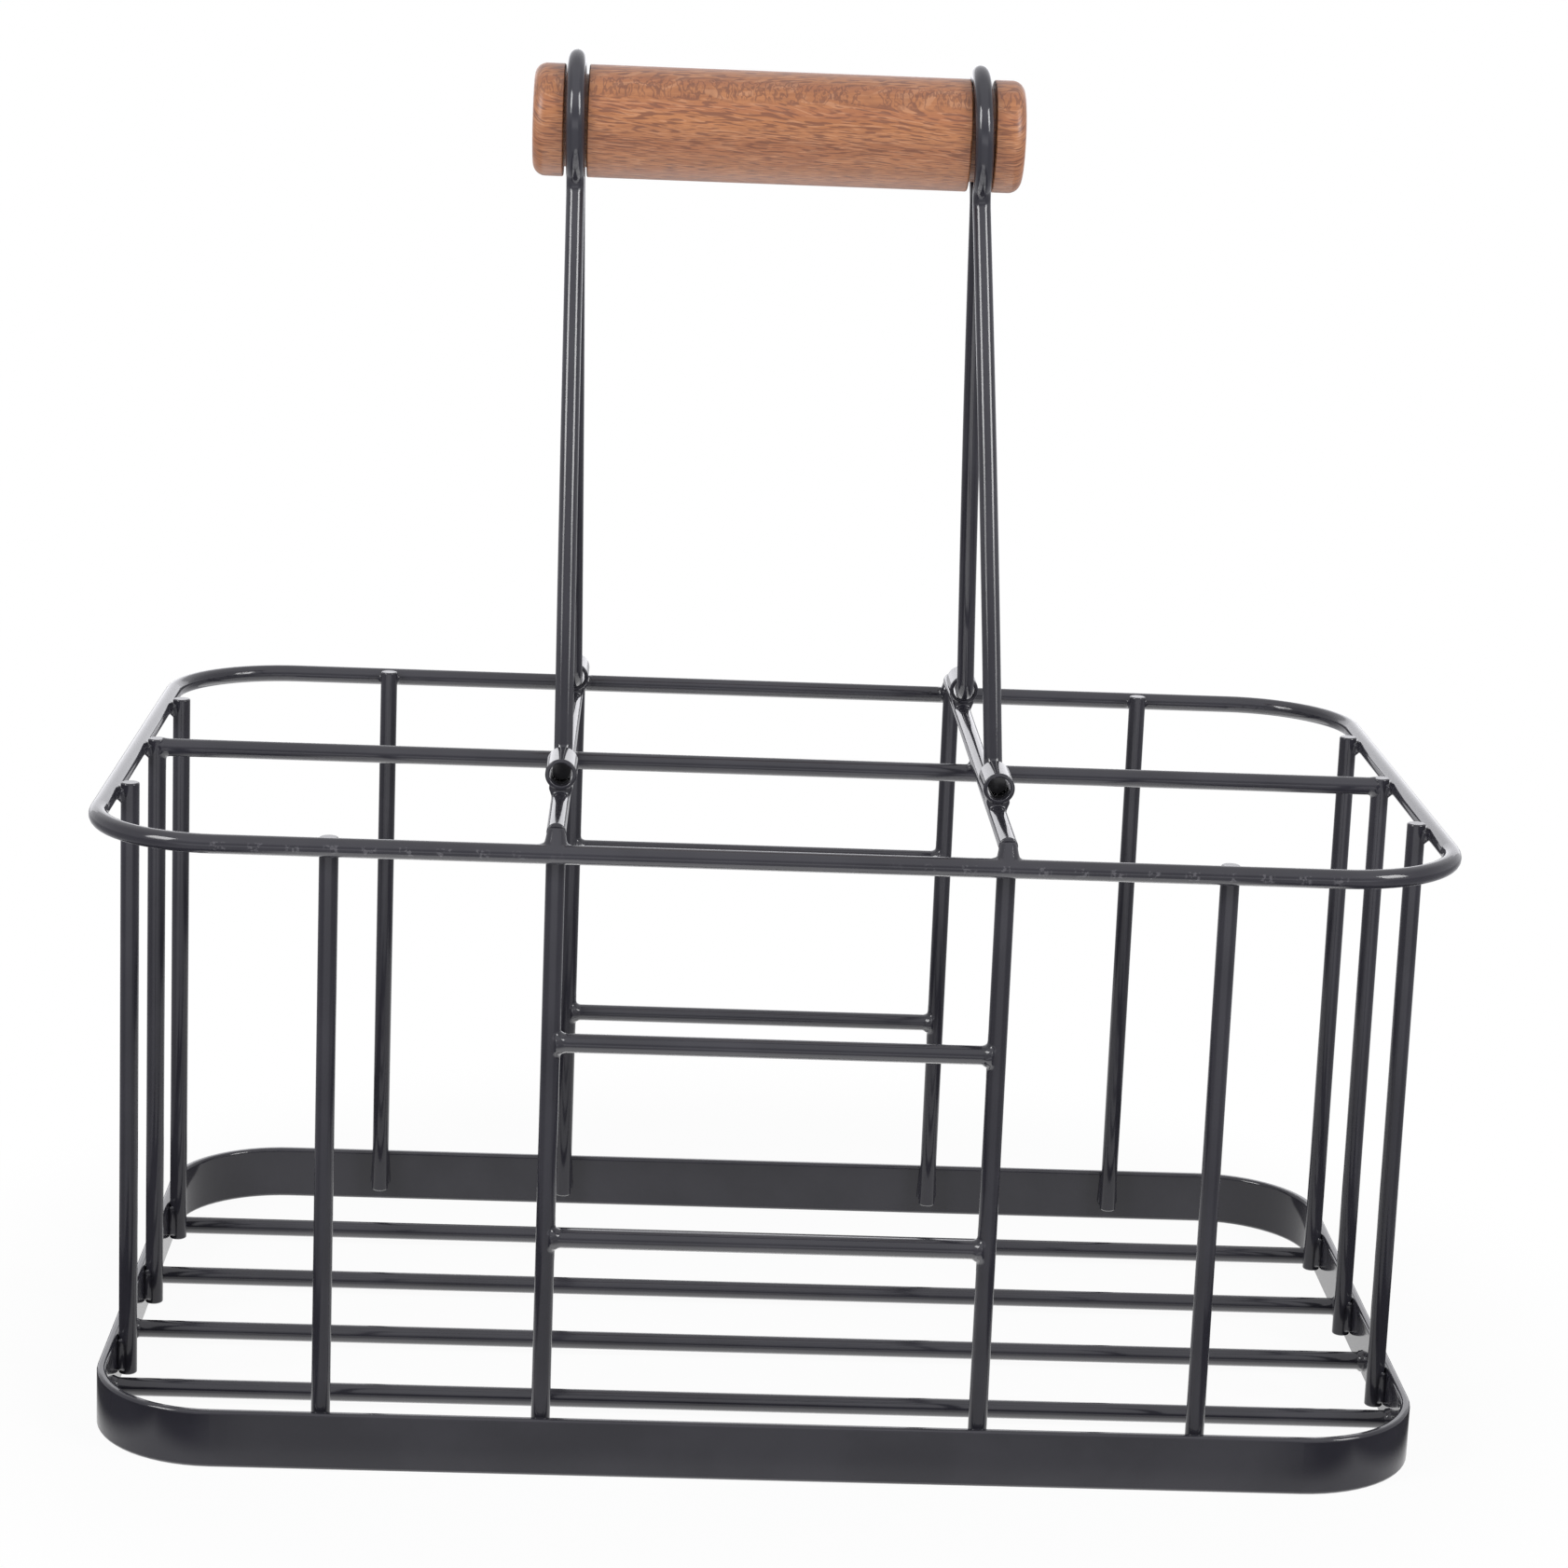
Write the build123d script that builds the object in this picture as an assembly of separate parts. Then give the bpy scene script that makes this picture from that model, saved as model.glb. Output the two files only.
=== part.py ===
from build123d import *

import math
import os

# A welded wire carrier for six bottles, with a wooden grip on two wire bails.
# Millimetres, +Z up, X along the grip, origin on the table at the middle of the footprint.
# It stands as it is put down: the handle has fallen over to its left stop.

# Coated round wire, the rounding of its cut ends, and the room left for metal in a weld
wire_d = 4.3
cut_edge_r = 0.4
weld_gap = 0.05

# Top ring, measured over the wire, with its corners measured to the wire's centre
ring_length = 310.3
ring_width = 194.3
ring_corner_r = 29.0
ring_z = 145.0

# Base band of flat strip on edge
band_height = 13.5
band_t = 2.2
band_edge_r = 0.8

# Posts: the height of their lower ends, half the spacing of the middle ones in a row, and how
# far the outer ones in front end below the ring's top
post_foot_z = 3.6
post_pitch = 49.7
outer_post_drop = 0.8

# Guard wires, floor wires, and how far an outer end post stands inside the outer floor wire
lower_guard_z = 55.2
upper_guard_z = 100.9
floor_wire_z = 3.66
floor_wire_pitch = 37.9
end_post_inset = 9.35

# Sleeves on the cross wires, and the play of a bail's foot inside one
sleeve_wall = 0.95
sleeve_length = 13.5
sleeve_inner_y = 49.5
sleeve_edge_r = 0.3
sleeve_weld_gap = 0.5
foot_play = 0.5
foot_clearance = 0.25

# Wooden grip and its two ring grooves: how far a groove lies inside the sleeve below it,
# and how much wood there is beyond the groove's middle
grip_d = 26.2
grip_z = 298.5
grip_end_r = 3.0
groove_draw_in = 2.3
groove_to_end = 9.95
groove_width = 5.5
groove_depth = 2.3
groove_edge_r = 0.4

# Bails: the loop's room round the groove's floor, below and above, and the angle from its
# bottom where the wire leaves it, in degrees; then the waist, the sprung leg and the foot
loop_clearance = 0.3
loop_slack = 1.5
loop_exit_angle = 33.0
waist_straight = 0.9
waist_bend_r = 4.6
leg_bow = 2.6
leg_arc_share = 0.85
foot_bend_r = 4.2
foot_length = 7.5

# How far the grip's middle lies to the left of the basket's middle at the handle's left stop
handle_fall = 4.35

# The welded frame: each piece lies against the one that it is welded to
wire_r = wire_d / 2
ring_top = ring_z + wire_r
post_x = ring_length / 2 - wire_d - weld_gap - wire_r
post_y = ring_width / 2 - wire_d - weld_gap - wire_r
band_inner_x = post_x + wire_r + weld_gap
band_inner_y = post_y + wire_r + weld_gap
band_corner_r = ring_corner_r - wire_r
cross_wire_z = ring_top + weld_gap + wire_r
cross_wire_end_y = ring_width / 2 - wire_d - weld_gap

# The sleeves and the axis that the bails' feet turn about
bore_r = wire_r + foot_play
sleeve_r = bore_r + sleeve_wall
sleeve_z = cross_wire_z + wire_r + sleeve_weld_gap + sleeve_r
foot_z = sleeve_z - foot_play + foot_clearance

# The loop hangs round the groove's floor, with its slack above the grip
grip_r = grip_d / 2
groove_x = post_pitch - groove_draw_in
grip_length = 2 * (groove_x + groove_to_end)
groove_floor_r = grip_r - groove_depth
exit_angle = math.radians(loop_exit_angle)
loop_lift = (loop_slack - loop_clearance) / (1 + math.cos(exit_angle))
loop_r = groove_floor_r + wire_r + loop_slack - loop_lift
left_reach = groove_draw_in - handle_fall
bail_rise = math.hypot(grip_z + loop_lift - foot_z, left_reach)


def straight_wire(start, end):
    run = Vector(*end) - Vector(*start)
    rod = extrude(Plane(origin=start, z_dir=run) * Circle(wire_r), amount=run.length)
    return fillet(rod.edges().filter_by(GeomType.CIRCLE), cut_edge_r)


def bent_wire(path):
    section = Plane(origin=path @ 0, z_dir=path % 0) * Circle(wire_r)
    return sweep(section, path=path)


def make_top_ring():
    outline = RectangleRounded(ring_length - wire_d, ring_width - wire_d, ring_corner_r)
    return bent_wire((Pos(0, 0, ring_z) * outline).wire())


def make_base_band():
    inside = RectangleRounded(2 * band_inner_x, 2 * band_inner_y, band_corner_r)
    outside = RectangleRounded(
        2 * (band_inner_x + band_t), 2 * (band_inner_y + band_t), band_corner_r + band_t
    )
    band = extrude(outside - inside, amount=band_height)
    level_faces = band.faces().sort_by(Axis.Z)
    rims = level_faces[0].edges() + level_faces[-1].edges()
    return fillet(rims, band_edge_r)


def make_posts():
    posts = {}
    row_x = [-2 * post_pitch, -post_pitch, post_pitch, 2 * post_pitch]
    for row, y in (("front", -post_y), ("rear", post_y)):
        for number, x in enumerate(row_x, 1):
            ends_low = row == "front" and abs(x) > post_pitch
            top_z = ring_top - outer_post_drop if ends_low else ring_top
            posts[f"{row}_post_{number}"] = straight_wire((x, y, post_foot_z), (x, y, top_z))
    outer_y = 1.5 * floor_wire_pitch - end_post_inset
    for end, x in (("left", -post_x), ("right", post_x)):
        for number, y in enumerate((-outer_y, 0, outer_y), 1):
            posts[f"{end}_post_{number}"] = straight_wire((x, y, post_foot_z), (x, y, ring_top))
    return posts


def make_top_wires():
    # The middle wire butts against the end posts; the cross wires lie on the middle posts' tops
    end_x = post_x - wire_r - weld_gap
    wires = {"middle_wire": straight_wire((-end_x, 0, ring_z), (end_x, 0, ring_z))}
    for side, x in (("left", -post_pitch), ("right", post_pitch)):
        front = (x, -cross_wire_end_y, cross_wire_z)
        rear = (x, cross_wire_end_y, cross_wire_z)
        wires[f"{side}_cross_wire"] = straight_wire(front, rear)
    return wires


def make_guards():
    guards = {}
    end_x = post_pitch - wire_r - weld_gap
    for row, y in (("front", -post_y), ("rear", post_y)):
        for level, z in (("lower", lower_guard_z), ("upper", upper_guard_z)):
            guards[f"{row}_guard_{level}"] = straight_wire((-end_x, y, z), (end_x, y, z))
    return guards


def make_floor_wires():
    wires = {}
    end_x = band_inner_x - weld_gap
    for number in range(1, 5):
        y = (number - 2.5) * floor_wire_pitch
        start = (-end_x, y, floor_wire_z)
        wires[f"floor_wire_{number}"] = straight_wire(start, (end_x, y, floor_wire_z))
    return wires


def make_sleeves():
    ring = Circle(sleeve_r) - Circle(bore_r)
    tube = extrude(Plane.XZ * ring, amount=sleeve_length / 2, both=True)
    tube = fillet(tube.edges().filter_by(GeomType.CIRCLE), sleeve_edge_r)
    middle_y = sleeve_inner_y + sleeve_length / 2
    sleeves = {}
    for side, x in (("left", -post_pitch), ("right", post_pitch)):
        for row, y in (("front", -middle_y), ("rear", middle_y)):
            sleeves[f"{side}_{row}_sleeve"] = Pos(x, y, sleeve_z) * tube
    return sleeves


def bail_path():
    # Drawn flat from one foot to the other, with the feet's axis as the line at height zero
    leave = Vector(loop_r * math.sin(exit_angle), bail_rise - loop_r * math.cos(exit_angle))
    inwards = Vector(-math.cos(exit_angle), -math.sin(exit_angle))
    ankle = Vector(sleeve_inner_y - foot_bend_r, 0)
    toe = Vector(sleeve_inner_y + foot_length, 0)
    # The wires near each other at the waist, after a run that leaves room for the bend there
    waist_turn = math.radians(inwards.get_angle(ankle - leave))
    waist_run = waist_straight + waist_bend_r * math.tan(waist_turn / 2)
    waist = leave + inwards * waist_run
    # The leg springs outwards, so it bows evenly between the waist and the ankle
    span = ankle - waist
    outwards = Vector(-span.Y, span.X).normalized()
    knee = (waist + ankle) / 2 + outwards * (2 * leg_bow)
    half_turn = math.atan2(2 * leg_bow, span.length / 2)
    leg_bend_r = leg_arc_share * span.length / 2 / math.tan(half_turn)
    radii = [waist_bend_r, leg_bend_r, foot_bend_r]
    leg = FilletPolyline(leave, waist, knee, ankle, toe, radius=radii)
    loop = CenterArc((0, bail_rise), loop_r, loop_exit_angle - 90, 360 - 2 * loop_exit_angle)
    return Wire(leg.edges() + loop.edges() + mirror(leg, Plane.YZ).edges())


def make_bails():
    bail = bent_wire(Plane.YZ * bail_path())
    bails = {}
    for side, sign in (("left", -1), ("right", 1)):
        foot_x = sign * post_pitch
        reach = sign * groove_x - handle_fall - foot_x
        lean = math.degrees(math.asin(reach / bail_rise))
        bails[f"{side}_bail"] = Pos(foot_x, 0, foot_z) * Rot(Y=lean) * bail
    return bails


def make_grip():
    bar = Cylinder(grip_r, grip_length)
    groove = Cylinder(grip_d, groove_width) - Cylinder(groove_floor_r, groove_width)
    for sign in (-1, 1):
        bar -= Pos(0, 0, sign * groove_x) * groove
    rims = bar.edges().filter_by(GeomType.CIRCLE).sort_by(Axis.Z)
    outer_rims = [rim for rim in rims if rim.radius > (grip_r + groove_floor_r) / 2]
    bar = fillet(outer_rims[1:-1], groove_edge_r)
    ends = bar.faces().sort_by(Axis.Z)
    bar = fillet(ends[0].edges() + ends[-1].edges(), grip_end_r)
    return Pos(-handle_fall, 0, grip_z) * Rot(Y=90) * bar


nodes = {"top_ring": make_top_ring(), "base_band": make_base_band()}
nodes |= make_posts() | make_top_wires() | make_guards() | make_floor_wires()
nodes |= make_sleeves() | make_bails()
nodes["grip"] = make_grip()

os.makedirs("parts", exist_ok=True)
for name, shape in nodes.items():
    export_step(shape, f"parts/{name}.step")
print(len(nodes), "pieces; the bails turn about", round(foot_z, 3), "and rise", round(bail_rise, 3))
print("loop centre is", round(loop_lift, 3), "above the grip's axis, loop radius", round(loop_r, 3))
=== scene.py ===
import math
import random

import bpy
from mathutils import Matrix, Vector


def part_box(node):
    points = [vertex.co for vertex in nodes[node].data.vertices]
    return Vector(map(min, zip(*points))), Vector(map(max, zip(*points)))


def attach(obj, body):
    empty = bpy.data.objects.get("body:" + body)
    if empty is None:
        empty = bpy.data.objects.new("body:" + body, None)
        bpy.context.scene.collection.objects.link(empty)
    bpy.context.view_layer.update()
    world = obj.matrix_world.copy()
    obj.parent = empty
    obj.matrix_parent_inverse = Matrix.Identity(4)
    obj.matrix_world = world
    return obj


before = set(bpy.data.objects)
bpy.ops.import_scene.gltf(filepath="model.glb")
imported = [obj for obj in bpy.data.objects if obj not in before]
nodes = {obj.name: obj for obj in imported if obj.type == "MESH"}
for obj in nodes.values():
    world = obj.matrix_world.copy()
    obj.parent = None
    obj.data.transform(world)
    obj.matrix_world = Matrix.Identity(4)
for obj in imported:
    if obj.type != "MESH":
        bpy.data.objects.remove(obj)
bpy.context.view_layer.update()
mm = 0.001


def middle(name):
    low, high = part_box(name)
    return (low + high) / 2


def wireRadius():
    low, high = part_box("middle_wire")
    return (high.z - low.z) / 2


def pickOnly(*objects):
    bpy.ops.object.select_all(action="DESELECT")
    for obj in objects:
        obj.select_set(True)
    bpy.context.view_layer.objects.active = objects[0]


# Camera of the photograph: place in metres, angles in degrees, lens on a 36 mm frame
view = {
    "place": (-0.029325, -0.926205, 0.351859),
    "yaw": 2.262,
    "pitch": -12.090,
    "roll": 2.343,
    "lens": 89.744,
    "shift": (-0.01248, -0.0317),
    "nearest": 0.01,
}


def addCamera():
    bpy.ops.object.camera_add(location=view["place"])
    camera = bpy.context.object
    yaw, pitch, roll = (math.radians(view[turn]) for turn in ("yaw", "pitch", "roll"))
    ahead = Vector((math.sin(yaw) * math.cos(pitch), math.cos(yaw) * math.cos(pitch), math.sin(pitch)))
    level = Vector((math.cos(yaw), -math.sin(yaw), 0))
    above = level.cross(ahead)
    right = level * math.cos(roll) + above * math.sin(roll)
    up = above * math.cos(roll) - level * math.sin(roll)
    camera.rotation_euler = Matrix((right, up, -ahead)).transposed().to_euler()
    camera.data.lens = view["lens"]
    camera.data.shift_x, camera.data.shift_y = view["shift"]
    camera.data.clip_start = view["nearest"]
    bpy.context.scene.camera = camera
    print("camera set")


class Wired:
    # A socket that can stand in a sum
    def __init__(self, finish, socket):
        self.finish = finish
        self.socket = socket

    def __add__(self, other):
        return self.finish.sum("ADD", self, other)

    def __radd__(self, other):
        return self.finish.sum("ADD", other, self)

    def __sub__(self, other):
        return self.finish.sum("SUBTRACT", self, other)

    def __rsub__(self, other):
        return self.finish.sum("SUBTRACT", other, self)

    def __mul__(self, other):
        return self.finish.sum("MULTIPLY", self, other)

    def __rmul__(self, other):
        return self.finish.sum("MULTIPLY", other, self)


class Finish:
    # The shader of a new material or world
    def __init__(self, owner):
        owner.use_nodes = True
        self.owner = owner
        self.tree = owner.node_tree
        self.tree.nodes.clear()

    def node(self, kind, settings=None, values=None, out=0):
        made = self.tree.nodes.new(kind)
        for key, value in (settings or {}).items():
            setattr(made, key, value)
        for key, value in (values or {}).items():
            if isinstance(value, Wired):
                self.tree.links.new(value.socket, made.inputs[key])
            else:
                made.inputs[key].default_value = value
        return Wired(self, made.outputs[out]) if made.outputs else None

    def place(self, centre=(0, 0, 0), scale=(1, 1, 1)):
        spot = self.node("ShaderNodeTexCoord", out="Object")
        shift = [-c * s for c, s in zip(centre, scale)]
        return self.node("ShaderNodeMapping", None, {0: spot, 1: shift, 3: scale})

    def parted(self, vector):
        return [self.node("ShaderNodeSeparateXYZ", None, {0: vector}, out=axis) for axis in "XYZ"]

    def rayIs(self, *kinds):
        return [self.node("ShaderNodeLightPath", out=f"Is {kind} Ray") for kind in kinds]

    def noise(self, spot, scale, detail=2.0, rough=0.5):
        return self.node("ShaderNodeTexNoise", None,
                         {"Vector": spot, "Scale": scale, "Detail": detail, "Roughness": rough})

    def sum(self, operation, *terms):
        return self.node("ShaderNodeMath", {"operation": operation}, dict(enumerate(terms)))

    def ramp(self, value, low, high):
        # 0 below low, 1 above high, smooth between
        return self.node("ShaderNodeMapRange", {"interpolation_type": "SMOOTHSTEP"},
                         {0: value, 1: low, 2: high})

    def between(self, factor, first, second):
        # first where the factor is 0, second where it is 1
        return first + (second - first) * factor

    def blend(self, factor, first, second):
        return self.node("ShaderNodeMix", {"data_type": "RGBA"}, {0: factor, 6: first, 7: second}, out=2)

    def bump(self, raised):
        return self.node("ShaderNodeBump", None, {"Strength": 1.0, "Distance": 1.0, "Height": raised})

    def surface(self, shader):
        self.node("ShaderNodeOutputMaterial", None, {0: shader})
        return self.owner


# Semi-gloss charcoal powder coat on the wires, band, sleeves and bails. The rolls that straightened
# the ring's wire left small nicks along its front, but for a stretch near the middle
coat = {
    "dark": (0.0230, 0.0224, 0.0300, 1),
    "light": (0.0316, 0.0308, 0.0400, 1),
    "clouds": {"size": 26 * mm, "detail": 4, "edges": (0.35, 0.65), "roughness": 0.10},
    "peel": {"size": 1.5 * mm, "detail": 1, "depth": 0.0003 * mm},
    "pimples": {"size": 2.6 * mm, "detail": 0, "edges": (0.72, 0.82), "depth": 0.003 * mm},
    "roughness": 0.34,
    "bodyIor": 1.06,
    "gloss": 0.9,
    "glossRoughness": 0.10,
    "glossIor": 1.5,
    "nick": (0.105, 0.102, 0.116, 1),
    "nicks": {"size": 0.75 * mm, "detail": 1, "edges": (0.50, 0.62), "strength": 0.75},
    "nickPitch": 8.2 * mm,
    "nickRollEdges": (0.14, 0.24),
    "nickBehindFront": (0.32 * mm, 0.12 * mm),
    "nickFreeMiddle": -12 * mm,
    "nickFreeHalf": (30 * mm, 60 * mm),
}


def powderCoat():
    finish = Finish(bpy.data.materials.new("powderCoat"))
    spot = finish.place()
    clouds, peel, pimples, strokes = (
        finish.noise(spot, 1 / coat[name]["size"], coat[name]["detail"])
        for name in ("clouds", "peel", "pimples", "nicks"))
    pimples = finish.ramp(pimples, *coat["pimples"]["edges"])
    colour = finish.blend(finish.ramp(clouds, *coat["clouds"]["edges"]), coat["dark"], coat["light"])
    aside, ahead = finish.parted(spot)[:2]
    front = -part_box("top_ring")[0].y
    onFront = finish.ramp(0 - ahead, *(front - depth for depth in coat["nickBehindFront"]))
    offMiddle = finish.ramp(finish.sum("ABSOLUTE", aside - coat["nickFreeMiddle"]), *coat["nickFreeHalf"])
    fromRoll = finish.sum("PINGPONG", aside * (1 / coat["nickPitch"]), 0.5)
    atRolls = 1 - finish.ramp(fromRoll, *coat["nickRollEdges"])
    nicks = onFront * offMiddle * finish.ramp(strokes, *coat["nicks"]["edges"]) * atRolls
    colour = finish.blend(nicks * coat["nicks"]["strength"], colour, coat["nick"])
    shader = finish.node("ShaderNodeBsdfPrincipled", None, {
        "Base Color": colour,
        "Roughness": coat["roughness"] + coat["clouds"]["roughness"] * clouds,
        "Normal": finish.bump(peel * coat["peel"]["depth"] + pimples * coat["pimples"]["depth"]),
        "IOR": coat["bodyIor"],
        "Coat Weight": coat["gloss"],
        "Coat Roughness": coat["glossRoughness"],
        "Coat IOR": coat["glossIor"]})
    return finish.surface(shader)


# Oiled beech of the grip, its grain along X. Its rays run out from the heart of the tree: they show as
# dark lengthwise dashes, and where the face lies along them as a band of small mottled flecks. Light
# streaks blended into its colour are a painted sheen
wood = {
    "pale": (0.425, 0.172, 0.067, 1),
    "deep": (0.345, 0.128, 0.046, 1),
    "ray": (0.135, 0.040, 0.018, 1),
    "sheen": (0.53, 0.262, 0.140, 1),
    "late": (0.315, 0.103, 0.042, 1),
    "slant": 0.045,
    "sway": {"stretch": 0.3, "scale": 110, "detail": 2, "rough": 0.5},
    "grain": {"stretch": 0.06, "scale": 1300, "detail": 3, "rough": 0.65},
    "clouds": {"stretch": 0.2, "scale": 120, "detail": 2, "rough": 0.5},
    "swayRound": 2.2 * mm,
    "swayOut": 3 * mm,
    "grainShare": 0.7,
    "cloudShare": 0.3,
    "toneEdges": (0.36, 0.62),
    "ringPitch": 3.4 * mm,
    "lateEdges": (0.35, 0.95),
    "lateStrength": 0.45,
    "dashLength": 3.8 * mm,
    "dashWidth": 0.23 * mm,
    "rayHeight": 4.5 * mm,
    "dashes": {"longer": 1, "wider": 1, "shift": 3.1, "detail": 0,
               "edges": (0.54, 0.64), "strength": 0.95},
    "pores": {"longer": 0.6, "wider": 0.6, "shift": 17.3, "detail": 0,
              "edges": (0.58, 0.70), "strength": 0.5},
    # Painted sheen: light streaks that blend the wood's colour toward the sheen colour
    "paintedSheenMarks": {"longer": 1.2, "wider": 1, "shift": 41.7, "detail": 0,
             "edges": (0.56, 0.72), "strength": 0.50},
    "flecks": {"longer": 0.44, "wider": 2.6, "shift": 60.2, "detail": 2,
               "edges": (0.60, 0.70), "strength": 0.8},
    "flecksAt": 43,
    "fleckBandShares": (0.14, 0.30),
    "fleckRimAt": 0.52,
    "fleckRimEdges": (0.015, 0.07),
    "fleckCover": 0.8,
    "markStrength": 0.78,
    "reliefDepth": 0.02 * mm,
    "grainRelief": 0.5,
    "roughness": 0.42,
    "grainRoughness": 0.16,
    "ior": 1.50,
    "oil": 0.5,
    "oilRoughness": 0.38,
}


def beech():
    finish = Finish(bpy.data.materials.new("oiledBeech"))
    centre = middle("grip")
    low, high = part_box("grip")
    barRadius = (high.z - low.z) / 2
    along, across, up = finish.parted(finish.place(centre))

    def streaks(name):
        # Noise drawn out along the grain
        streak = wood[name]
        spot = finish.place(centre, (streak["stretch"], 1, 1))
        return finish.noise(spot, streak["scale"], streak["detail"], streak["rough"])

    # Turned to the tree's own directions: growth runs out from its heart, flat runs round it. The rays
    # are thin across flat and tall along growth, so they broaden to flecks where growth is near nothing
    turn = math.radians(wood["flecksAt"])
    growth = across * math.sin(turn) + up * math.cos(turn)
    flat = across * -math.cos(turn) + up * math.sin(turn)
    sway, grain, clouds = (streaks(name) for name in ("sway", "grain", "clouds"))
    wavy = flat + along * wood["slant"] + sway * wood["swayRound"]
    rings = (growth + sway * wood["swayOut"]) * (1 / wood["ringPitch"])
    late = finish.ramp(finish.sum("PINGPONG", rings, 1.0), *wood["lateEdges"])

    def rays(name):
        ray = wood[name]
        cell = finish.node("ShaderNodeCombineXYZ", None, {
            0: along * (1 / (ray["longer"] * wood["dashLength"])) + ray["shift"],
            1: wavy * (1 / (ray["wider"] * wood["dashWidth"])),
            2: growth * (1 / wood["rayHeight"])})
        return finish.noise(cell, 1.0, ray["detail"])

    def marked(name):
        return finish.ramp(rays(name), *wood[name]["edges"])

    band = (share * barRadius for share in wood["fleckBandShares"])
    onFlecks = 1 - finish.ramp(finish.sum("ABSOLUTE", growth), *band)
    flecks = rays("flecks")
    rims = 1 - finish.ramp(finish.sum("ABSOLUTE", flecks - wood["fleckRimAt"]), *wood["fleckRimEdges"])
    patches = finish.ramp(flecks, *wood["flecks"]["edges"])
    mottle = rims * wood["flecks"]["strength"] + patches * wood["flecks"]["strength"]
    dashes, pores, paintedSheenMarks = (marked(name) for name in ("dashes", "pores", "paintedSheenMarks"))
    lines = dashes * wood["dashes"]["strength"] + pores * wood["pores"]["strength"]
    marks = finish.sum("MINIMUM", (1 - onFlecks * wood["fleckCover"]) * lines + onFlecks * mottle, 1.0)
    tone = finish.ramp(grain * wood["grainShare"] + clouds * wood["cloudShare"], *wood["toneEdges"])
    colour = finish.blend(tone, wood["pale"], wood["deep"])
    colour = finish.blend(late * wood["lateStrength"], colour, wood["late"])
    # Painted sheen laid over the wood's colour along the light streaks
    colour = finish.blend(paintedSheenMarks * wood["paintedSheenMarks"]["strength"], colour, wood["sheen"])
    colour = finish.blend(marks * wood["markStrength"], colour, wood["ray"])
    shader = finish.node("ShaderNodeBsdfPrincipled", None, {
        "Base Color": colour,
        "Roughness": wood["roughness"] + wood["grainRoughness"] * grain,
        "Normal": finish.bump((grain * wood["grainRelief"] - dashes) * wood["reliefDepth"]),
        "IOR": wood["ior"],
        "Coat Weight": wood["oil"],
        "Coat Roughness": wood["oilRoughness"]})
    return finish.surface(shader)


# Weld metal under the coat. Each kind of weld is fused from lengths of the joined wires and from
# cones and beads in their corners, then smoothed, so that it only shows as a fillet there. Places
# and radii that have no unit are in radii of the wire, and two touching wires are 2 of them apart
weld = {
    "seed": 7,
    "voxel": 0.24 * mm,
    "smoothing": 0.5,
    "rounds": 26,
    "sides": 32,
    "stub": 3,
    "apart": 2,
    "bead": 0.55 * mm,
    "beadSpreadShare": 0.3,
    "beadDetail": 3,
}
wireR = wireRadius()
chance = random.Random(weld["seed"])


def inRadii(x, y, z):
    return x * wireR, y * wireR, z * wireR


def rod(start, end, radius=None, endRadius=None):
    start, end = Vector(start), Vector(end)
    run = end - start
    first = radius or wireR
    bpy.ops.mesh.primitive_cone_add(
        vertices=weld["sides"], radius1=first, radius2=endRadius or first, depth=run.length,
        location=(start + end) / 2, rotation=run.to_track_quat("Z", "Y").to_euler())
    return bpy.context.object


def bead(place, size=1.0, stretch=(1, 1, 1)):
    size *= weld["bead"] * (1 + weld["beadSpreadShare"] * chance.uniform(-1, 1))
    bpy.ops.mesh.primitive_ico_sphere_add(subdivisions=weld["beadDetail"], radius=size, location=place)
    bpy.context.object.scale = stretch
    return bpy.context.object


def fuse(parts, rounds=None):
    pickOnly(*parts)
    bpy.ops.object.join()
    lump = bpy.context.object
    bpy.ops.object.transform_apply(location=True, rotation=True, scale=True)
    remesh = lump.modifiers.new("remesh", "REMESH")
    remesh.mode = "VOXEL"
    remesh.voxel_size = weld["voxel"]
    bpy.ops.object.modifier_apply(modifier=remesh.name)
    smooth = lump.modifiers.new("smooth", "SMOOTH")
    smooth.factor = weld["smoothing"]
    smooth.iterations = rounds or weld["rounds"]
    bpy.ops.object.modifier_apply(modifier=smooth.name)
    return lump


def turnedCopy(lump, place, angle):
    copied = lump.copy()
    copied.data = lump.data.copy()
    bpy.context.collection.objects.link(copied)
    copied.location = place
    copied.rotation_euler = (0, 0, angle)
    return copied


def layWelds(name, lump, places):
    # One piece of all the copies of a weld, at (place, angle about the vertical) each
    copies = [turnedCopy(lump, place, angle) for place, angle in places]
    bpy.data.objects.remove(lump)
    pickOnly(*copies)
    bpy.ops.object.join()
    piece = bpy.context.object
    piece.name = name
    bpy.ops.object.transform_apply(location=True, rotation=True, scale=True)
    bpy.ops.object.shade_smooth()
    piece.data.materials.append(coatMaterial)
    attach(piece, "basket")
    print(name, len(copies), "welds,", len(piece.data.polygons), "faces")


# Posts stand inside the ring and the band: each row's angle turns +Y to the outside
postTurns = {"rear": 0, "left": math.pi / 2, "front": math.pi, "right": -math.pi / 2}


def postPlaces(height):
    places = []
    for name in [n for n in nodes if "_post_" in n]:
        post = middle(name)
        places.append((Vector((post.x, post.y, height)), postTurns[name.split("_")[0]]))
    return places


def endPlaces(name, sunk=0):
    # Both ends of a lengthwise wire: the angle turns +X to the outside
    low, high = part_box(name)
    centre = middle(name)
    return [(Vector((low.x + sunk, centre.y, centre.z)), math.pi),
            (Vector((high.x - sunk, centre.y, centre.z)), 0)]


# A post's top against the ring: a web on each side of it, and a seam between them below the ring
ringWeld = {
    "postTop": 0.55,
    "webFoot": (0.75, 0.9, -1.05),
    "webHead": (0.85, 1, 0.3),
    "webFootRadius": 0.35 * mm,
    "webHeadRadius": 0.60 * mm,
    "seamHalf": 0.7,
    "seamHeight": -0.85,
    "seamRadius": 0.50 * mm,
}


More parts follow.
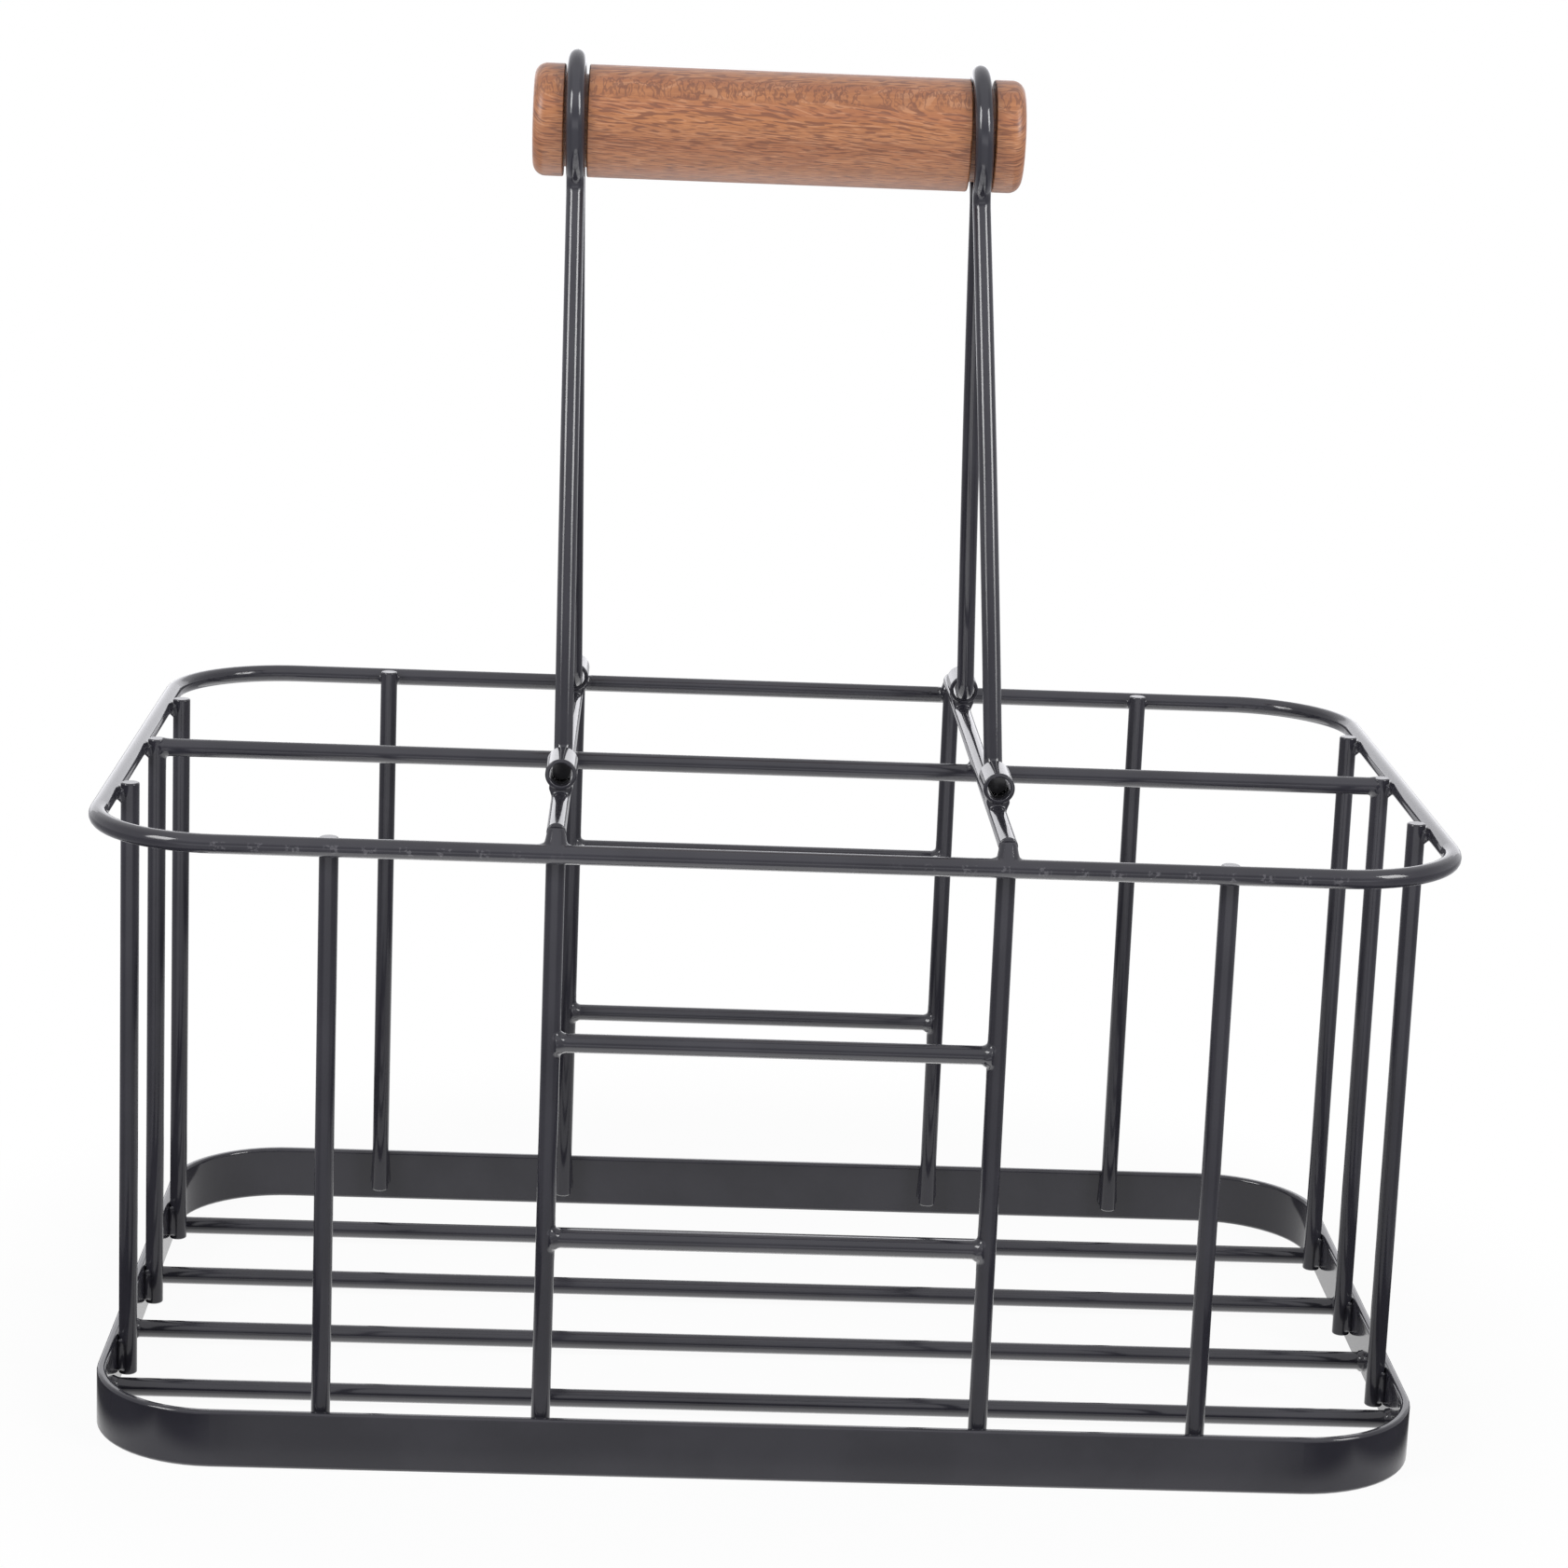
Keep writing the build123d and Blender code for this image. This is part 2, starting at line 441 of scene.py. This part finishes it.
def ringWelds():
    stub, beside = weld["stub"], weld["apart"]
    parts = [rod(inRadii(0, 0, -stub), inRadii(0, 0, ringWeld["postTop"])),
             rod(inRadii(-stub, beside, 0), inRadii(stub, beside, 0))]
    for side in (-1, 1):
        foot, head = (inRadii(side * x, y, z) for x, y, z in (ringWeld["webFoot"], ringWeld["webHead"]))
        parts.append(rod(foot, head, ringWeld["webFootRadius"], ringWeld["webHeadRadius"]))
    half, height = ringWeld["seamHalf"], ringWeld["seamHeight"]
    parts.append(rod(inRadii(-half, 1, height), inRadii(half, 1, height), ringWeld["seamRadius"]))
    layWelds("ringWelds", fuse(parts), postPlaces(middle("top_ring").z))


# A post's foot against the band: a weld up each side of it, short of the foot and of the band's rim
bandWeld = {
    "footFree": 0.5 * mm,
    "rimFree": 1.2 * mm,
    "lowAside": 0.86,
    "highAside": 0.76,
    "outside": 0.80,
    "lowRadius": 0.90 * mm,
    "highRadius": 0.70 * mm,
    "rounds": 12,
}


def bandWelds():
    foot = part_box("front_post_1")[0].z
    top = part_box("base_band")[1].z
    outside = bandWeld["outside"] * wireR
    parts = [rod((0, 0, foot + bandWeld["footFree"]), (0, 0, top + weld["apart"] * wireR))]
    for side in (-1, 1):
        low = (side * bandWeld["lowAside"] * wireR, outside, foot + bandWeld["rimFree"])
        high = (side * bandWeld["highAside"] * wireR, outside, top - bandWeld["rimFree"])
        parts.append(rod(low, high, bandWeld["lowRadius"], bandWeld["highRadius"]))
    layWelds("bandWelds", fuse(parts, bandWeld["rounds"]), postPlaces(0))


# The end of a guard or floor wire flares where it meets the side of another piece
collarWeld = {
    "length": 1.15 * mm,
    "startShare": 0.9,
    "sunk": 0.5,
    "flareShare": 0.8,
    "beads": 5,
    "beadShiftShare": 0.3,
    "beadOut": 0.15 * mm,
    "beadBack": 0.25 * mm,
    "guardPost": 2.6,
    "floorSunk": 0.25 * mm,
    "floorRounds": 12,
}


def collar():
    # The wire comes along X and ends at the origin
    end, outward = Vector((0, 0, 0)), Vector((1, 0, 0))
    side = outward.orthogonal().normalized()
    start = end - outward * collarWeld["startShare"] * collarWeld["length"]
    stop = end + outward * collarWeld["sunk"] * wireR
    parts = [rod(end - outward * weld["stub"] * wireR, end),
             rod(start, stop, wireR, wireR + collarWeld["flareShare"] * collarWeld["length"])]
    for number in range(collarWeld["beads"]):
        shift = chance.uniform(-collarWeld["beadShiftShare"], collarWeld["beadShiftShare"])
        turn = Matrix.Rotation(math.tau * (number + shift) / collarWeld["beads"], 3, outward)
        around = end + turn @ side * (wireR + collarWeld["beadOut"])
        parts.append(bead(around - outward * collarWeld["beadBack"]))
    return parts


def guardWelds():
    parts = collar()
    half = collarWeld["guardPost"]
    parts.append(rod(inRadii(1, 0, -half), inRadii(1, 0, half)))
    places = []
    for name in [n for n in nodes if "_guard_" in n]:
        places += endPlaces(name)
    layWelds("guardWelds", fuse(parts), places)


def floorWelds():
    lump = fuse(collar(), collarWeld["floorRounds"])
    places = []
    for name in [n for n in nodes if n.startswith("floor_wire")]:
        places += endPlaces(name, collarWeld["floorSunk"])
    layWelds("floorWelds", lump, places)


# The middle wire's ends melt into the end posts' tops, and the cross wires lie on it
middleWeld = {
    "sunk": 0.5,
    "flareStart": -0.4,
    "flare": 1.15,
    "postTop": 0.6,
    "endBead": {"place": (0.1, 0.5, 0.62), "size": 1.5, "stretch": (2.4, 1, 0.7)},
    "crossBead": {"place": (0.55, 0.55, 0), "size": 1.25, "stretch": (1.2, 1.2, 0.8)},
}


def middleEndWelds():
    stub, sunk = weld["stub"], inRadii(middleWeld["sunk"], 0, 0)
    parts = [rod(inRadii(-stub, 0, 0), sunk),
             rod(inRadii(middleWeld["flareStart"], 0, 0), sunk, wireR, middleWeld["flare"] * wireR),
             rod(inRadii(1, 0, -stub), inRadii(1, 0, middleWeld["postTop"]))]
    drop = middleWeld["endBead"]
    x, y, z = drop["place"]
    for side in (-1, 1):
        parts.append(bead(inRadii(x, side * y, z), drop["size"], drop["stretch"]))
    layWelds("middleEndWelds", fuse(parts), endPlaces("middle_wire"))


def middleCrossWelds():
    stub = weld["stub"]
    parts = [rod(inRadii(-stub, 0, -1), inRadii(stub, 0, -1)),
             rod(inRadii(0, -stub, 1), inRadii(0, stub, 1))]
    drop = middleWeld["crossBead"]
    x, y, z = drop["place"]
    for xSide in (-1, 1):
        for ySide in (-1, 1):
            parts.append(bead(inRadii(xSide * x, ySide * y, z), drop["size"], drop["stretch"]))
    height = (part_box("middle_wire")[1].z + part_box("left_cross_wire")[0].z) / 2
    places = []
    for name in ("left_cross_wire", "right_cross_wire"):
        places.append((Vector((middle(name).x, middle("middle_wire").y, height)), 0))
    layWelds("middleCrossWelds", fuse(parts), places)


# A cross wire ends behind the ring's crown, and its weld runs down onto the crown
crossWeld = {
    "endFree": 0.3 * mm,
    "railStub": 5,
    "postTop": 0.2,
    "postBottom": -2,
    "footRailShare": 0.50,
    "footHeight": 0.25,
    "head": (0, -0.40, 0.30),
    "footRadius": 1.34,
    "headRadius": 0.90,
    "beadAside": 1.25,
    "beadRailShare": 0.6,
    "beadHeight": 0.8,
    "beadSize": 1.2,
    "beadStretch": (1.5, 1, 0.7),
}


def crossWelds():
    ring = middle("top_ring").z
    low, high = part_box("left_cross_wire")
    drop = ring - (low.z + high.z) / 2
    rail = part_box("top_ring")[1].y - wireR - high.y
    railEnd = crossWeld["railStub"] * wireR
    postTop = crossWeld["postTop"] * wireR + drop + wireR
    foot = (0, crossWeld["footRailShare"] * rail, drop + crossWeld["footHeight"] * wireR)
    parts = [rod(inRadii(0, -weld["stub"], 0), (0, -crossWeld["endFree"], 0)),
             rod((-railEnd, rail, drop), (railEnd, rail, drop)),
             rod((0, -wireR, drop + crossWeld["postBottom"] * wireR), (0, -wireR, postTop)),
             rod(foot, inRadii(*crossWeld["head"]), crossWeld["footRadius"] * wireR,
                 crossWeld["headRadius"] * wireR)]
    for side in (-1, 1):
        spot = (side * crossWeld["beadAside"] * wireR, crossWeld["beadRailShare"] * rail,
                drop + crossWeld["beadHeight"] * wireR)
        parts.append(bead(spot, crossWeld["beadSize"], crossWeld["beadStretch"]))
    places = []
    for name in ("left_cross_wire", "right_cross_wire"):
        centre = middle(name)
        places.append((Vector((centre.x, high.y, centre.z)), 0))
        places.append((Vector((centre.x, low.y, centre.z)), math.pi))
    layWelds("crossWelds", fuse(parts), places)


# A saddle of weld metal between each sleeve and its cross wire, bored out for the bail's foot. Its
# seams lie side by side at two levels, each level with its height and how far aside its seams are
sleeveWeld = {
    "tubeFree": 0.3 * mm,
    "coreFree": 0.5 * mm,
    "seamFree": 0.6 * mm,
    "core": 0.8,
    "seamLevels": ((0.45 * mm, 0.78), (-0.5 * mm, 0.62)),
    "seamRadius": 1.05 * mm,
    "rounds": 22,
    "wallLeft": 0.5 * mm,
    "sliver": 0.03 * mm,
}


def sleeveWelds():
    low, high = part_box("left_front_sleeve")
    tubeR = (high.z - low.z) / 2
    half = (high.y - low.y) / 2
    past = 2 * half
    wire = middle("left_cross_wire").z - (low.z + high.z) / 2
    seam = (wire + wireR - tubeR) / 2

    def lengthwise(free, x, z, radius):
        return rod((x, free - half, z), (x, half - free, z), radius)

    parts = [lengthwise(sleeveWeld["tubeFree"], 0, 0, tubeR),
             rod((0, -past, wire), (0, past, wire)),
             lengthwise(sleeveWeld["coreFree"], 0, seam, sleeveWeld["core"] * wireR)]
    for side in (-1, 1):
        for level, aside in sleeveWeld["seamLevels"]:
            parts.append(lengthwise(sleeveWeld["seamFree"], side * (aside * wireR), seam + level,
                                    sleeveWeld["seamRadius"]))
    saddle = fuse(parts, sleeveWeld["rounds"])
    bore = rod((0, -past, 0), (0, past, 0), tubeR - sleeveWeld["wallLeft"])
    cut = saddle.modifiers.new("bore", "BOOLEAN")
    cut.object = bore
    cut.operation = "DIFFERENCE"
    pickOnly(saddle)
    bpy.ops.object.modifier_apply(modifier=cut.name)
    bpy.data.objects.remove(bore)
    slivers = saddle.modifiers.new("slivers", "WELD")
    slivers.merge_threshold = sleeveWeld["sliver"]
    bpy.ops.object.modifier_apply(modifier=slivers.name)
    places = [(middle(name), 0) for name in nodes if name.endswith("_sleeve")]
    layWelds("sleeveWelds", saddle, places)


# Small pale table, white to the camera but for the object's shadow, which fades out to the rim. In the
# coat's gloss it shines brightest straight below, less at a slant, and hardly beyond the object's sides.
# Its distances are in metres from its middle
tableTop = {
    "radius": 0.25,
    "colour": (0.86, 0.86, 0.87, 1),
    "shadowShare": 0.05,
    "shadowFadeShares": (0.65, 0.98),
    "shineDown": 2.6,
    "shineAcross": 1.00,
    "shineFront": 0.72,
    "shineBeyond": 0.03,
    "slantEdges": (0.20, 0.65),
    "frontFrom": (0.098, 0.112),
    "sidesFrom": (0.150, 0.165),
    "frontSidesFrom": (0.115, 0.140),
    "corners": 96,
}


def addTable():
    bpy.ops.mesh.primitive_circle_add(
        vertices=tableTop["corners"], radius=tableTop["radius"], fill_type="NGON")
    table = bpy.context.object
    table.name = "table"
    finish = Finish(bpy.data.materials.new("table"))
    spot = finish.place()
    aside, ahead = finish.parted(spot)[:2]
    aside = finish.sum("ABSOLUTE", aside)
    before = finish.ramp(0 - ahead, *tableTop["frontFrom"])
    beyond = finish.sum("MAXIMUM", finish.ramp(aside, *tableTop["sidesFrom"]),
                        before * finish.ramp(aside, *tableTop["frontSidesFrom"]))
    slanting = finish.ramp(finish.node("ShaderNodeLayerWeight", out="Facing"), *tableTop["slantEdges"])
    low = finish.between(before, tableTop["shineAcross"], tableTop["shineFront"])
    shine = finish.between(slanting, tableTop["shineDown"], low)
    shine = finish.between(beyond, shine, tableTop["shineBeyond"])
    camera, glossy, transmission = finish.rayIs("Camera", "Glossy", "Transmission")
    white = finish.node("ShaderNodeEmission", None, {"Color": 1 - glossy * (1 - shine), "Strength": 1.0})
    outward = finish.node("ShaderNodeVectorMath", {"operation": "LENGTH"}, {0: spot}, out="Value")
    rim = (share * tableTop["radius"] for share in tableTop["shadowFadeShares"])
    shadow = (1 - finish.ramp(outward, *rim)) * tableTop["shadowShare"]
    diffuse = finish.node("ShaderNodeBsdfDiffuse", None, {"Color": tableTop["colour"]})
    seen = (camera + glossy + transmission) * (1 - shadow)
    shader = finish.node("ShaderNodeMixShader", None, {0: seen, 1: diffuse, 2: white})
    table.data.materials.append(finish.surface(shader))


# White surround. Its shine in the coat's gloss goes by height, from low to high, in front of the object,
# at its sides and behind it. The steps from one to the next are places on a sphere of radius 1
surround = {
    "tint": (0.965, 0.965, 1, 1),
    "frontNear": 0.70,
    "frontLow": 1.50,
    "frontLevel": 0.58,
    "frontHigh": 1.40,
    "nearToLow": (-0.30, -0.20),
    "lowToLevel": (-0.15, 0.12),
    "levelToHigh": (0.18, 0.60),
    "sides": (0.40, 0.85),
    "sideStep": (-0.18, 0.05),
    "behind": (0.68, 1.15),
    "behindStep": (-0.18, 0.02),
    "frontToBehind": (0.0, 0.4),
    "toSides": (0.45, 0.80),
    "light": (1.25, 0.15),
    "lightStep": (-0.3, 0.1),
}


def addSurround():
    world = bpy.data.worlds.new("surround")
    bpy.context.scene.world = world
    sky = Finish(world)
    aside, ahead, height = sky.parted(sky.node("ShaderNodeTexCoord", out="Generated"))

    def step(value, name):
        return sky.ramp(value, *surround[name])

    front = sky.between(step(height, "nearToLow"), surround["frontNear"], surround["frontLow"])
    front = sky.between(step(height, "lowToLevel"), front, surround["frontLevel"])
    front = sky.between(step(height, "levelToHigh"), front, surround["frontHigh"])
    behind = sky.between(step(height, "behindStep"), *surround["behind"])
    beside = sky.between(step(height, "sideStep"), *surround["sides"])
    shine = sky.between(step(ahead, "frontToBehind"), front, behind)
    shine = sky.between(step(sky.sum("ABSOLUTE", aside), "toSides"), shine, beside)
    light = sky.between(step(height, "lightStep"), *surround["light"])
    camera, diffuse, glossy, transmission = sky.rayIs("Camera", "Diffuse", "Glossy", "Transmission")
    strength = camera + (glossy + transmission) * shine + diffuse * light
    tint = sky.blend(glossy, (1, 1, 1, 1), surround["tint"])
    colour = sky.node("ShaderNodeVectorMath", {"operation": "SCALE"}, {0: tint, "Scale": strength})
    background = sky.node("ShaderNodeBackground", None, {"Color": colour, "Strength": 1.0})
    sky.node("ShaderNodeOutputWorld", None, {0: background})


# Two tall lamps high at the sides, each with a dim one below it, a low wide one behind and a faint
# one overhead
lamps = {
    "azimuth": 56,
    "distance": 1.6,
    "upper": {"height": 1.12, "wide": 0.60, "tall": 0.78, "radiance": 12.5},
    "lower": {"height": 0.61, "wide": 0.50, "tall": 0.24, "radiance": 6.0},
    "back": {"place": (0, 1.7, 0.40), "wide": 2.2, "tall": 0.75, "radiance": 0.8},
    "overhead": {"place": (0, 0.1, 2.0), "wide": 1.6, "tall": 1.6, "radiance": 0.1},
}


def addLamp(lamp, place, toward):
    bpy.ops.object.light_add(type="AREA", location=place)
    light = bpy.context.object
    light.data.shape = "RECTANGLE"
    light.data.size = lamp["wide"]
    light.data.size_y = lamp["tall"]
    light.data.energy = lamp["radiance"] * math.pi * lamp["wide"] * lamp["tall"]
    light.rotation_euler = toward.to_track_quat("-Z", "Y").to_euler()
    light.visible_camera = False
    return light


def addLamps():
    for side in (-1, 1):
        turn = math.radians(lamps["azimuth"]) * side
        for level in ("upper", "lower"):
            place = Vector((math.sin(turn), -math.cos(turn), 0)) * lamps["distance"]
            toward = -place.copy()
            place.z = lamps[level]["height"]
            addLamp(lamps[level], place, toward)
    back = addLamp(lamps["back"], lamps["back"]["place"], Vector((0, -1, 0)))
    back.data.color = surround["tint"][:3]
    overhead = addLamp(lamps["overhead"], lamps["overhead"]["place"], Vector((0, 0, -1)))
    overhead.visible_glossy = False


def addStudio():
    addTable()
    addSurround()
    addLamps()
    bpy.context.scene.view_settings.view_transform = "Standard"
    print("studio set")


def dress(names, material):
    for name in names:
        slots = nodes[name].data.materials
        slots.clear()
        slots.append(material)


addCamera()
addStudio()
coatMaterial = powderCoat()
beechMaterial = beech()
dress([name for name in nodes if name != "grip"], coatMaterial)
dress(["grip"], beechMaterial)
print("finishes on the nodes")
ringWelds()
bandWelds()
guardWelds()
middleEndWelds()
middleCrossWelds()
crossWelds()
floorWelds()
sleeveWelds()
